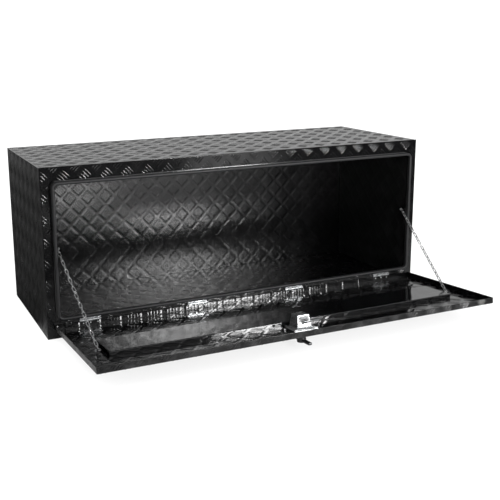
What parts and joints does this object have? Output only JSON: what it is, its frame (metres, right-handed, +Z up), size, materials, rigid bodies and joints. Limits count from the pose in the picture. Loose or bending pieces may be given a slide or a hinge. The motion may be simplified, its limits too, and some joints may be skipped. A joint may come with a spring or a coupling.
{
  "type": "underbody truck tool box",
  "caption": "Long tread plate tool box with a drop-down front door on riveted hinges, held open by chains, with a rubber door seal and a T-handle cam latch",
  "frame": {"origin": "centre of the underside of the box's bottom panel", "axes": "+X runs along the box's length to the right as seen from the front, +Y runs from the front to the back, +Z is up; the door opens toward -Y"},
  "size_m": [1.22, 0.8497, 0.48],
  "materials": {
    "black_tread": "glossy black powder coat on five-bar tread plate",
    "black_coat": "smooth glossy black powder coat",
    "seal_rubber": "dark grey extruded seal rubber",
    "zinc": "bright zinc-plated steel",
    "chain_zinc": "zinc-plated chain",
    "handle_black": "black coated die casting",
    "lock_chrome": "plated lock plug"
  },
  "bodies": {
    "box": {"top_panel": "black_tread", "bottom_panel": "black_tread", "back_panel": "black_tread", "left_end_panel": "black_tread", "right_end_panel": "black_tread", "front_frame": "black_tread", "door_seal": "seal_rubber", "latch_keeper": "black_coat", "hinge_1_box_leaf": "zinc", "hinge_2_box_leaf": "zinc", "hinge_3_box_leaf": "zinc", "hinge_4_box_leaf": "zinc", "hinge_1_pin": "zinc", "hinge_2_pin": "zinc", "hinge_3_pin": "zinc", "hinge_4_pin": "zinc", "left_box_bracket": "black_coat", "left_box_anchor_bolt": "zinc", "left_box_anchor_nut": "zinc", "right_box_bracket": "black_coat", "right_box_anchor_bolt": "zinc", "right_box_anchor_nut": "zinc"},
    "door": {"door_pan": "black_tread", "door_stiffener": "black_coat", "hinge_1_door_leaf": "zinc", "hinge_2_door_leaf": "zinc", "hinge_3_door_leaf": "zinc", "hinge_4_door_leaf": "zinc", "handle_gasket": "seal_rubber", "handle_escutcheon": "handle_black", "latch_plate": "zinc", "latch_bush": "zinc", "latch_housing": "zinc", "left_escutcheon_bolt": "zinc", "left_escutcheon_nut": "zinc", "left_door_bracket": "black_coat", "left_door_anchor_bolt": "zinc", "left_door_anchor_nut": "zinc", "right_escutcheon_bolt": "zinc", "right_escutcheon_nut": "zinc", "right_door_bracket": "black_coat", "right_door_anchor_bolt": "zinc", "right_door_anchor_nut": "zinc"},
    "handle": {"t_handle": "handle_black", "latch_shaft": "zinc", "latch_arm": "zinc", "arm_washer": "zinc", "arm_nut": "zinc"},
    "lock": {"lock_plug": "lock_chrome"},
    "left_upper_run": {"left_upper_chain": "chain_zinc"},
    "left_lower_run": {"left_lower_chain": "chain_zinc"},
    "right_upper_run": {"right_upper_chain": "chain_zinc"},
    "right_lower_run": {"right_lower_chain": "chain_zinc"}
  },
  "joints": [
    {"name": "door_hinge", "type": "hinge", "parent": "box", "child": "door", "pos_m": [0, -0.2231, 0.0424], "axis": [-1, 0, 0], "range_deg": [0, 85.9]},
    {"name": "handle_turn", "type": "hinge", "parent": "door", "child": "handle", "pos_m": [0, -0.54866, 0.06574], "axis": [0, -0.0715, -0.9974], "range_deg": [0, 90]},
    {"name": "lock_turn", "type": "hinge", "parent": "handle", "child": "lock", "pos_m": [0, -0.54866, 0.06574], "axis": [0, -0.0715, -0.9974], "range_deg": [0, 90]},
    {"name": "left_upper_chain_swing", "type": "hinge", "parent": "box", "child": "left_upper_run", "pos_m": [-0.569, -0.2105, 0.253], "axis": [1, 0, 0], "range_deg": [0, 77.4]},
    {"name": "left_lower_chain_swing", "type": "hinge", "parent": "door", "child": "left_lower_run", "pos_m": [-0.5415, -0.48086, 0.05356], "axis": [-1, 0, 0], "range_deg": [0, 12.9]},
    {"name": "right_upper_chain_swing", "type": "hinge", "parent": "box", "child": "right_upper_run", "pos_m": [0.569, -0.2105, 0.253], "axis": [1, 0, 0], "range_deg": [0, 77.4]},
    {"name": "right_lower_chain_swing", "type": "hinge", "parent": "door", "child": "right_lower_run", "pos_m": [0.5415, -0.48086, 0.05356], "axis": [-1, 0, 0], "range_deg": [0, 12.9]}
  ],
  "couplings": [
    {"joint": "left_upper_chain_swing", "follows": "door_hinge", "ratio": 0.9},
    {"joint": "left_lower_chain_swing", "follows": "door_hinge", "ratio": 0.15},
    {"joint": "right_upper_chain_swing", "follows": "door_hinge", "ratio": 0.9},
    {"joint": "right_lower_chain_swing", "follows": "door_hinge", "ratio": 0.15}
  ]
}
